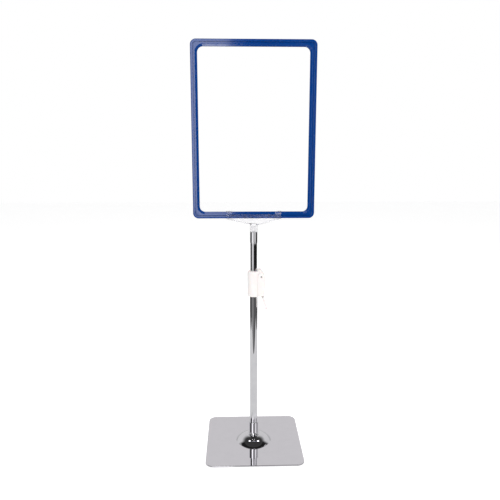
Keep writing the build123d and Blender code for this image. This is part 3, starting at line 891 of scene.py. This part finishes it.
@dataclass
class PlateBase:
    """The square plate, its pads, the domed cover, the socket and the bolt beneath.

    Attributes:
        corner: The plate's corner radius.
        edge: Radius of its top edge.
        under_edge: Chamfer of its bottom edge.
        pocket_roof: Radius of the pressed pocket's flat roof, inside.
        pocket_draft: How much wider the pocket is at its mouth.
        pocket_round: Radius of the pocket's bends.
        bolt_hole: Radius of the hole for the bolt.
        plate_thick: The plate's sheet thickness.
        crown: Radius of the dome's flat crown.
        bulge: How far the dome's arc stands off its chord.
        sheet: The dome's sheet thickness.
        dome_hole: Radius of the hole through the dome.
        foot_thick: Thickness of the socket's foot.
        foot_fillet: Fillet between the foot and the barrel.
        rim_round: Round on the barrel's rim.
        socket_radius: Radius of the socket's barrel.
        socket_bore: Radius of its bore.
        bore_chamfer: Chamfer at the bore's top.
        corner_steps: Chords in each corner of the plate.
    """

    corner: float = 21.0 * MM
    edge: float = 1.0 * MM
    under_edge: float = 0.5 * MM
    pocket_roof: float = 25.0 * MM
    pocket_draft: float = 8.0 * MM
    pocket_round: float = 1.2 * MM
    bolt_hole: float = 4.2 * MM
    plate_thick: float = 3.0 * MM
    crown: float = 16.5 * MM
    bulge: float = 3.6 * MM
    sheet: float = 1.2 * MM
    dome_hole: float = 8.2 * MM
    foot_thick: float = 1.6 * MM
    foot_fillet: float = 2.0 * MM
    rim_round: float = 1.0 * MM
    socket_radius: float = 13.0 * MM
    socket_bore: float = 10.05 * MM
    bore_chamfer: float = 0.3 * MM
    corner_steps: int = 20

    def plate(self) -> Solid:
        """Models the pressed plate.

        Returns:
            The plate.
        """
        low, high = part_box("base_plate")
        half = (high.x - low.x) / 2
        floor, top = low.z, low.z + self.plate_thick
        rise = high.z - top
        bm = bmesh.new()
        sides = [(self.under_edge, floor), (0.0, floor + self.under_edge), (0.0, top - self.edge)]
        for r, a in arc((0.0, 0.0), self.edge, 0.0, 90.0, 6)[1:]:
            sides.append((self.edge - r, top - self.edge + a))
        outlines = [
            Outline(half - inset, half - inset, self.corner - inset, height)
            for inset, height in sides
        ]
        roof_out = self.pocket_roof + self.plate_thick
        outside = [
            (half, top),
            (roof_out + self.pocket_draft, top),
            (roof_out, top + rise),
            (self.bolt_hole, top + rise),
        ]
        inside = [
            (self.bolt_hole, floor + rise),
            (self.pocket_roof, floor + rise),
            (self.pocket_roof + self.pocket_draft, floor),
            (half, floor),
        ]
        bend = self.pocket_round
        circles = [*eased(*outside[:3], bend), *eased(*outside[1:], bend), outside[-1]]
        circles += [inside[0], *eased(*inside[:3], bend), *eased(*inside[1:], bend)]
        outlines += [Outline(radius, radius, radius, height) for radius, height in circles]
        skin(bm, outlines, self.corner_steps)
        return make_object("plate", bm)

    def dome(self) -> Solid:
        """Models the drawn cover.

        Returns:
            The cover.
        """
        low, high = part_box("dome_cover")
        rim = high.x
        outside = self.dome_side(rim, low.z, high.z)
        inside = self.dome_side(rim - 1.3 * self.sheet, low.z, high.z - self.sheet)
        profile = [(self.dome_hole, high.z), *outside, *reversed(inside),
                   (self.dome_hole, high.z - self.sheet)]
        return turned("dome", profile, 160)

    def dome_side(self, rim: float, floor: float, top: float) -> list[Pair]:
        """Points of the dome's arc from its crown to its rim.

        Args:
            rim: The rim's radius.
            floor: The rim's height.
            top: The crown's height.

        Returns:
            The arc's points.
        """
        run, drop = rim - self.crown, top - floor
        chord = math.hypot(run, drop)
        radius = (chord * chord / 4 + self.bulge**2) / (2 * self.bulge)
        slope = math.atan2(drop, run)
        back = radius - self.bulge
        centre = (
            self.crown + run / 2 - back * math.sin(slope),
            floor + drop / 2 - back * math.cos(slope),
        )
        start = math.degrees(math.atan2(top - centre[1], self.crown - centre[0]))
        end = math.degrees(math.atan2(floor - centre[1], rim - centre[0]))
        return arc(centre, radius, start, end, 36)

    def socket(self) -> Solid:
        """Models the turned socket with its flared foot.

        Returns:
            The socket.
        """
        low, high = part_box("socket_sleeve")
        foot = high.x
        barrel, fillet, rim = self.socket_radius, self.foot_fillet, self.rim_round
        bore, chamfer = self.socket_bore, self.bore_chamfer
        shelf = low.z + self.foot_thick
        nose = self.foot_thick / 3
        profile = [(bore, low.z), (foot - nose, low.z)]
        profile += arc((foot - nose, low.z + nose), nose, -90.0, 0.0, 5)[1:]
        profile += arc((foot - nose, shelf - nose), nose, 0.0, 90.0, 5)
        profile += arc((barrel + fillet, shelf + fillet), fillet, 270.0, 180.0, 10)
        profile += arc((barrel - rim, high.z - rim), rim, 0.0, 90.0, 8)
        profile += [(bore + chamfer, high.z), (bore, high.z - chamfer)]
        return turned("socket", profile)

    def build(self) -> None:
        """Builds and dresses the whole base."""
        dress(self.plate(), PLATE_CHROME, "stand", "base_plate")
        dress(self.dome(), DOME_CHROME, "stand", "dome_cover")
        dress(self.socket(), SOCKET_CHROME, "stand", "socket_sleeve")
        coat("base_pads", PAD_RUBBER)
        coat("socket_plug", PLUG_STEEL)
        for node in ("base_bolt", "base_washer", "lock_washer"):
            coat(node, ZINC_STEEL)


# ---------------------------------------------------------------- pole


@dataclass
class Pole:
    """The two telescopic tubes, the collar and the glide.

    Attributes:
        outer_wall: The outer tube's wall.
        inner_wall: The inner tube's wall.
        tube_edge: Round on the tubes' ends.
        collar_round: Round on the collar's ends.
        collar_lip: Thickness of the lip over the inner tube's end.
        collar_fit: Gap between the collar and the inner tube.
    """

    outer_wall: float = 1.0 * MM
    inner_wall: float = 0.8 * MM
    tube_edge: float = 0.25 * MM
    collar_round: float = 0.5 * MM
    collar_lip: float = 1.0 * MM
    collar_fit: float = 0.05 * MM

    def tube(self, name: str, node: str, wall: float) -> Solid:
        """Models a tube with rounded ends.

        Args:
            name: The tube's name.
            node: Its CAD node.
            wall: Its wall.

        Returns:
            The tube.
        """
        low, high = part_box(node)
        outer, inner, edge = high.x, high.x - wall, self.tube_edge
        profile = turned_side(outer, low.z, high.z, edge, 4)
        profile += arc((inner + edge, high.z - edge), edge, 90.0, 180.0, 4)
        profile += arc((inner + edge, low.z + edge), edge, 180.0, 270.0, 4)
        return turned(name, profile)

    def collar(self) -> Solid:
        """Models the collar with its turned-in lip.

        Returns:
            The collar.
        """
        low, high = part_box("top_collar")
        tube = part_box("inner_tube")[1].x
        outer, seat, lip = high.x, tube + self.collar_fit, tube - self.inner_wall
        edge, under_lip = self.collar_round, high.z - self.collar_lip
        profile = [(seat, low.z), *turned_side(outer, low.z, high.z, edge, 8)]
        profile += [(lip, high.z), (lip, under_lip), (seat, under_lip)]
        return turned("collar", profile)

    def build(self) -> None:
        """Builds and dresses the pole."""
        outer = self.tube("lower_tube", "outer_tube", self.outer_wall)
        dress(outer, TUBE_CHROME, "stand", "outer_tube")
        inner = self.tube("upper_tube", "inner_tube", self.inner_wall)
        dress(inner, TUBE_CHROME, "mast", "inner_tube")
        dress(self.collar(), COLLAR_CHROME, "mast", "top_collar")
        coat("tube_glide", GLIDE_BLACK)


# ---------------------------------------------------------------- clamp


@dataclass
class LeverClamp:
    """The white clamp body, its lever, the pin and the brake pad.

    Attributes:
        dish: Depth of the pin's dished ends.
        dish_floor: Radius of the dish's floor as a share of the pin's.
        dish_mouth: Radius of its mouth as a share of the pin's.
        pin_edge: Round on the pin's ends.
    """

    dish: float = 0.35 * MM
    dish_floor: float = 0.45
    dish_mouth: float = 0.6
    pin_edge: float = 0.4 * MM

    def pin(self) -> Solid:
        """Models the pin with dished ends.

        Returns:
            The pin.
        """
        low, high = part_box("lever_pin")
        centre = (low + high) / 2
        radius = (high.x - low.x) / 2
        half = (high.y - low.y) / 2
        floor, mouth = radius * self.dish_floor, radius * self.dish_mouth
        profile = [(0.0, self.dish - half), (floor, self.dish - half), (mouth, -half)]
        profile += turned_side(radius, -half, half, self.pin_edge, 5)
        profile += [(mouth, half), (floor, half - self.dish), (0.0, half - self.dish)]
        return turned("pin", profile, 48, Around.DEPTH, centre)

    def build(self) -> None:
        """Builds and dresses the clamp."""
        dress(solid_copy("clamp", "clamp_body"), CLAMP_WHITE, "stand", "clamp_body")
        dress(solid_copy("lever", "clamp_lever"), CLAMP_WHITE, "lever", "clamp_lever")
        # The pin's dark finish partly paints the shade at its ends.
        dress(self.pin(), PIN_STEEL_WITH_PAINTED_SHADE, "stand", "lever_pin")
        coat("brake_pad", GLIDE_BLACK)


# ---------------------------------------------------------------- sign


@dataclass
class SheetFrame:
    """The two half shells of the blue frame, and the clear T-piece that carries them.

    Attributes:
        corner: The frame's outer corner radius.
        window_corner: Corner radius of its window.
        rail: The rail's width.
        wall: Width of the wall that meets the other half.
        slot: Thickness of the sheet's slot.
        bead: Width of the outer bead.
        bead_round: Round on the bead's outer edge.
        bead_inner: Round on the bead's inner edge.
        groove: Width of the groove inside the bead.
        groove_depth: Its depth below the bead.
        band_drop: How far the flat band lies below the bead.
        slope_width: Width of the slope down to the window.
        slope_depth: Its depth.
        line_edge: Chamfer where the band meets the groove and the slope.
        corner_steps: Chords in each corner.
    """

    corner: float = 14.0 * MM
    window_corner: float = 14.0 * MM
    rail: float = 17.0 * MM
    wall: float = 5.8 * MM
    slot: float = 2.4 * MM
    bead: float = 6.4 * MM
    bead_round: float = 1.9 * MM
    bead_inner: float = 0.5 * MM
    groove: float = 1.6 * MM
    groove_depth: float = 1.6 * MM
    band_drop: float = 0.5 * MM
    slope_width: float = 5.6 * MM
    slope_depth: float = 2.2 * MM
    line_edge: float = 0.25 * MM
    corner_steps: int = 18

    def line(self, size: Vector, inset: float, depth: float, rub: float) -> Outline:
        """Makes one line of the rail's section, which runs all the way round the frame.

        Args:
            size: Half the frame's width and height, and which way the half faces along Z.
            inset: Distance in from the frame's outer edge.
            depth: Distance out from the face where the halves meet.
            rub: How much its edge is scuffed, from 0 to 1.

        Returns:
            The line.
        """
        near_window = inset > self.rail / 2
        corner = self.window_corner + self.rail if near_window else self.corner
        return Outline(size.x - inset, size.y - inset, corner - inset, size.z * depth, rub)

    def section(self, half: float) -> list[Triple]:
        """The rail's section, from the meeting face round the front to the slot.

        Args:
            half: Half the frame's depth.

        Returns:
            Each line's inset, depth and rub, in order.
        """
        r, b, edge = self.bead_round, self.bead_inner, self.line_edge
        floor, band = half - self.groove_depth, half - self.band_drop
        groove_in, slope_in = self.bead + self.groove, self.rail - self.slope_width
        slide = edge * self.slope_depth / self.slope_width
        outer = arc((0.0, half - r), r, 0.0, 90.0, 7)
        inner = arc((self.bead - b, half - b), b, 90.0, 0.0, 3)
        return [
            (0.0, 0.0, 0.0),
            *((r - x, y, 0.8) for x, y in outer),
            *((x, y, 0.3) for x, y in inner),
            (self.bead, floor, 0.0),
            (groove_in, floor, 0.0),
            (groove_in, band - edge, 0.3),
            (groove_in + edge, band, 0.3),
            (slope_in - edge, band, 0.2),
            (slope_in + edge, band - slide, 0.2),
            (self.rail, band - self.slope_depth, 0.6),
            (self.rail, self.slot / 2, 0.0),
            (self.wall, self.slot / 2, 0.0),
            (self.wall, 0.0, 0.0),
        ]

    def half(self, name: str, facing: int) -> Solid:
        """Models one half shell as lines round the frame, bridged into a closed skin.

        Args:
            name: The half's name.
            facing: -1 for the front half and 1 for the rear half.

        Returns:
            The half shell.
        """
        low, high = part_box("frame_front")
        size = Vector(((high.x - low.x) / 2, (high.z - low.z) / 2, -facing))
        bm = bmesh.new()
        bm.verts.layers.float.new(EDGE_RUB)
        lines = [self.line(size, *step) for step in self.section(high.y - low.y)]
        skin(bm, lines, self.corner_steps)
        mouth = [
            v for v in bm.verts
            if abs(v.co.z) < SAME
            and v.co.y > size.y - self.corner
            and abs(v.co.x) < size.x - self.wall
        ]
        bmesh.ops.translate(bm, vec=(0.0, 0.0, size.z * self.slot / 2), verts=mouth)
        bmesh.ops.remove_doubles(bm, verts=bm.verts[:], dist=MERGE)
        stand_up = Matrix.Rotation(math.radians(90.0), 4, "X")
        lift = Matrix.Translation((0.0, 0.0, (high.z + low.z) / 2))
        bmesh.ops.transform(bm, matrix=lift @ stand_up, verts=bm.verts[:])
        return make_object(name, bm, 28.0)

    def build(self) -> None:
        """Builds and dresses the sign."""
        dress(self.half("front_shell", -1), FRAME_BLUE, "sign", "frame_front")
        dress(self.half("rear_shell", 1), FRAME_BLUE, "sign", "frame_rear")
        support = solid_copy("t_support", "t_piece")
        support.visible_shadow = False
        dress(support, T_CLEAR, "sign", "t_piece")


# ---------------------------------------------------------------- studio


@dataclass(frozen=True)
class Panel:
    """A soft-edged bright or grey panel that the plating mirrors.

    Attributes:
        left: Its left side, in degrees from straight ahead of the sign towards +X.
        right: Its right side.
        bottom: Its bottom, in degrees above the horizon.
        top: Its top.
        glow: Its brightness.
        soft: Width of its soft edge in degrees.
    """

    left: float
    right: float
    bottom: float
    top: float
    glow: float
    soft: float = 2.0


PANELS = (
    Panel(-22.0, -0.4, -6.0, 18.0, 3.7, 0.8),
    Panel(-22.0, -0.6, -38.0, -29.5, 6.5, 1.0),
    Panel(-22.0, -0.4, 33.5, 44.0, 3.0, 1.0),
    Panel(-70.0, -3.0, -12.5, -7.2, 0.62),
    Panel(-62.0, -22.0, -9.35, -7.3, 0.35, 0.3),
    Panel(-40.0, -10.0, -29.0, -12.5, 0.19),
    Panel(-181.0, 181.0, -91.0, -12.5, 0.09),
    Panel(-1.0, 40.0, -9.35, -7.3, 0.46, 0.3),
    Panel(40.0, 72.0, -9.35, -7.3, 0.58, 0.3),
    Panel(-42.0, -14.0, 24.5, 33.5, 1.15),
    Panel(34.0, 60.0, 24.5, 38.0, 0.75),
    Panel(64.0, 94.0, 23.0, 33.0, 0.28, 4.0),
    Panel(-104.0, -87.0, 23.0, 31.0, 0.22, 4.0),
    Panel(-62.0, 84.0, 24.5, 33.5, 0.22),
    Panel(40.0, 98.0, 4.0, 23.0, 0.42, 5.0),
    Panel(-98.0, -44.0, 4.0, 23.0, 0.42, 5.0),
    Panel(106.0, 200.0, 0.0, 46.0, 0.62, 22.0),
    Panel(-200.0, -106.0, 0.0, 46.0, 0.62, 22.0),
    Panel(-181.0, 181.0, 50.0, 91.0, 0.028),
    Panel(-124.0, -102.0, 70.5, 78.0, 3.0),
    Panel(96.0, 118.0, 67.5, 75.0, 3.0),
)


@dataclass
class Studio:
    """The pale floor, the soft lights, the mirrored surroundings and the camera.

    Attributes:
        camera_place: Where the camera stands.
        turn: The camera's turn to the right, in degrees.
        dip: Its downward tilt, in degrees.
        roll: Its roll, in degrees.
        lens: Its focal length in millimetres on a 36 mm sensor.
        panels: What the plating mirrors.
        dark: Brightness of the mirrored surroundings between the panels.
        fill: Brightness of the surroundings as a light.
        floor_glow: The floor's own brightness.
        card_glow: Brightness of the mirrored table top.
    """

    camera_place: Triple = (-0.049, -1.3137, 0.7710)
    turn: float = 1.715
    dip: float = 10.055
    roll: float = -0.025
    lens: float = 36.96
    panels: tuple[Panel, ...] = PANELS
    dark: float = 0.012
    fill: float = 0.62
    floor_glow: float = 0.38
    card_glow: float = 0.66

    def camera(self) -> None:
        """Sets up the camera."""
        turn, dip, roll = (math.radians(a) for a in (self.turn, self.dip, self.roll))
        ahead = Vector(
            (math.sin(turn) * math.cos(dip), math.cos(turn) * math.cos(dip), -math.sin(dip))
        )
        right = Vector((math.cos(turn), -math.sin(turn), 0.0))
        up = right.cross(ahead)
        right, up = (
            right * math.cos(roll) + up * math.sin(roll),
            up * math.cos(roll) - right * math.sin(roll),
        )
        data = bpy.data.cameras.new("studio_camera")
        data.lens = self.lens
        data.sensor_width = 36.0
        data.clip_start, data.clip_end = 0.05, 100.0
        made = bpy.data.objects.new("studio_camera", data)
        axes = Matrix((right, up, -ahead)).transposed().to_4x4()
        made.matrix_world = Matrix.Translation(self.camera_place) @ axes
        bpy.context.scene.collection.objects.link(made)
        bpy.context.scene.camera = made

    def world(self) -> None:
        """Makes the surroundings: white to look at, and a dark studio in the plating."""
        world = bpy.data.worlds.new("studio_world")
        world.use_nodes = True
        bpy.context.scene.world = world
        graph = Graph(world.node_tree)
        way = graph.node("ShaderNodeTexCoord").outputs["Generated"]
        split = graph.node("ShaderNodeSeparateXYZ", Vector=way)
        back = graph.math("MULTIPLY", split.outputs["Y"], -1.0)
        round_angle = graph.math("ARCTAN2", split.outputs["X"], back)
        height_angle = graph.math("ARCSINE", split.outputs["Z"])
        total = self.dark
        for panel in self.panels:
            mask = self.mask(graph, round_angle, panel.left, panel.right, panel.soft)
            tall = self.mask(graph, height_angle, panel.bottom, panel.top, panel.soft)
            lit = graph.math("MULTIPLY", graph.math("MULTIPLY", mask, tall), panel.glow)
            total = graph.math("ADD", total, lit)
        rays = graph.node("ShaderNodeLightPath").outputs
        tints = (((1.0, 0.99, 1.0), total), (WHITE, 1.0), (WHITE, self.fill))
        mirrored, seen, fill = (
            graph.node("ShaderNodeBackground", Color=opaque(tint), Strength=strength)
            for tint, strength in tints
        )
        others = graph.mix_shader(rays["Is Glossy Ray"], fill, mirrored)
        clear = graph.math("MAXIMUM", rays["Is Camera Ray"], rays["Is Transmission Ray"])
        final = graph.mix_shader(clear, others, seen)
        graph.node("ShaderNodeOutputWorld", Surface=final.outputs[0])

    def mask(
        self, graph: Graph, angle: Socket, low: float, high: float, soft: float
    ) -> Socket:
        """A soft window between two angles.

        Args:
            graph: The world's node tree.
            angle: The angle's socket, in radians.
            low: Its low side, in degrees.
            high: Its high side, in degrees.
            soft: Width of the soft edge, in degrees.

        Returns:
            1 inside and 0 outside.
        """
        half = soft / 2
        start = graph.smooth_step(angle, math.radians(low - half), math.radians(low + half))
        end = graph.smooth_step(angle, math.radians(high + half), math.radians(high - half))
        return graph.math("MULTIPLY", start, end)

    def ground(self) -> None:
        """Lays the pale floor, and the white table top that only the plating mirrors."""
        floor = self.sheet("floor", (-8.0, -8.0), (8.0, 8.0), 0.0)
        graph = self.cover(floor, "floor_pale")
        shader = graph.node(
            "ShaderNodeBsdfPrincipled",
            Base_Color=graph.blend(graph.noise(Noise(3.0)), (0.965, 0.965, 0.97), (0.98,) * 3),
            Roughness=0.9,
            Specular_IOR_Level=0.1,
            Emission_Color=opaque(WHITE),
            Emission_Strength=self.floor_glow,
        )
        graph.node("ShaderNodeOutputMaterial", Surface=shader.outputs["BSDF"])
        floor.visible_glossy = False
        table = self.sheet("table_card", (-0.95, -0.66), (0.95, 0.8), 0.4 * MM)
        graph = self.cover(table, "card_white")
        lit = graph.node("ShaderNodeEmission", Color=opaque(WHITE), Strength=self.card_glow)
        graph.node("ShaderNodeOutputMaterial", Surface=lit.outputs[0])
        table.visible_camera = table.visible_diffuse = False
        table.visible_transmission = table.visible_shadow = False

    def cover(self, sheet: Solid, name: str) -> Graph:
        """Gives a sheet a material of its own.

        Args:
            sheet: The sheet.
            name: The material's name.

        Returns:
            The material's empty node tree.
        """
        made = bpy.data.materials.new(name)
        made.use_nodes = True
        sheet.data.materials.append(made)
        return Graph(made.node_tree)

    def sheet(self, name: str, low: Pair, high: Pair, height: float) -> Solid:
        """Makes a flat sheet that isn't part of the stand.

        Args:
            name: Its name.
            low: Its low corner.
            high: Its high corner.
            height: Its height.

        Returns:
            The sheet.
        """
        bm = bmesh.new()
        middle = ((low[0] + high[0]) / 2, (low[1] + high[1]) / 2, height)
        stretch = Matrix.Diagonal(((high[0] - low[0]) / 2, (high[1] - low[1]) / 2, 1.0, 1.0))
        place = Matrix.Translation(middle) @ stretch
        bmesh.ops.create_grid(bm, x_segments=1, y_segments=1, size=1.0, matrix=place)
        mesh = bpy.data.meshes.new(name)
        bm.to_mesh(mesh)
        bm.free()
        made = bpy.data.objects.new(name, mesh)
        bpy.context.scene.collection.objects.link(made)
        return made

    def light(self, name: str, place: Triple, aim: Triple, size: float, power: float) -> None:
        """Hangs one square soft light that the plating doesn't mirror.

        Args:
            name: Its name.
            place: Where it hangs.
            aim: What it points at.
            size: Length of its side.
            power: Its power in watts.
        """
        data = bpy.data.lights.new(name, "AREA")
        data.shape = "SQUARE"
        data.size = size
        data.energy = power
        made = bpy.data.objects.new(name, data)
        made.location = place
        made.rotation_euler = (Vector(aim) - Vector(place)).to_track_quat("-Z", "Y").to_euler()
        made.visible_glossy = False
        made.visible_camera = False
        bpy.context.scene.collection.objects.link(made)

    def build(self) -> None:
        """Sets up the whole studio."""
        bpy.context.scene.view_settings.view_transform = "Standard"
        self.world()
        self.ground()
        self.light("overhead_light", (0.2, -0.3, 2.6), (0.0, 0.0, 0.0), 2.4, 34.0)
        self.light("front_light", (0.4, -2.4, 1.4), (0.0, 0.0, 0.6), 1.3, 15.0)
        self.camera()
        log.info("studio: %d panels", len(self.panels))


# ---------------------------------------------------------------- order of work


def main() -> None:
    """Builds every sub-assembly in order, then the studio."""
    logging.basicConfig(level=logging.INFO, format="%(name)s: %(message)s")
    PlateBase().build()
    Pole().build()
    LeverClamp().build()
    SheetFrame().build()
    Studio().build()


if __name__ == "__main__":
    main()
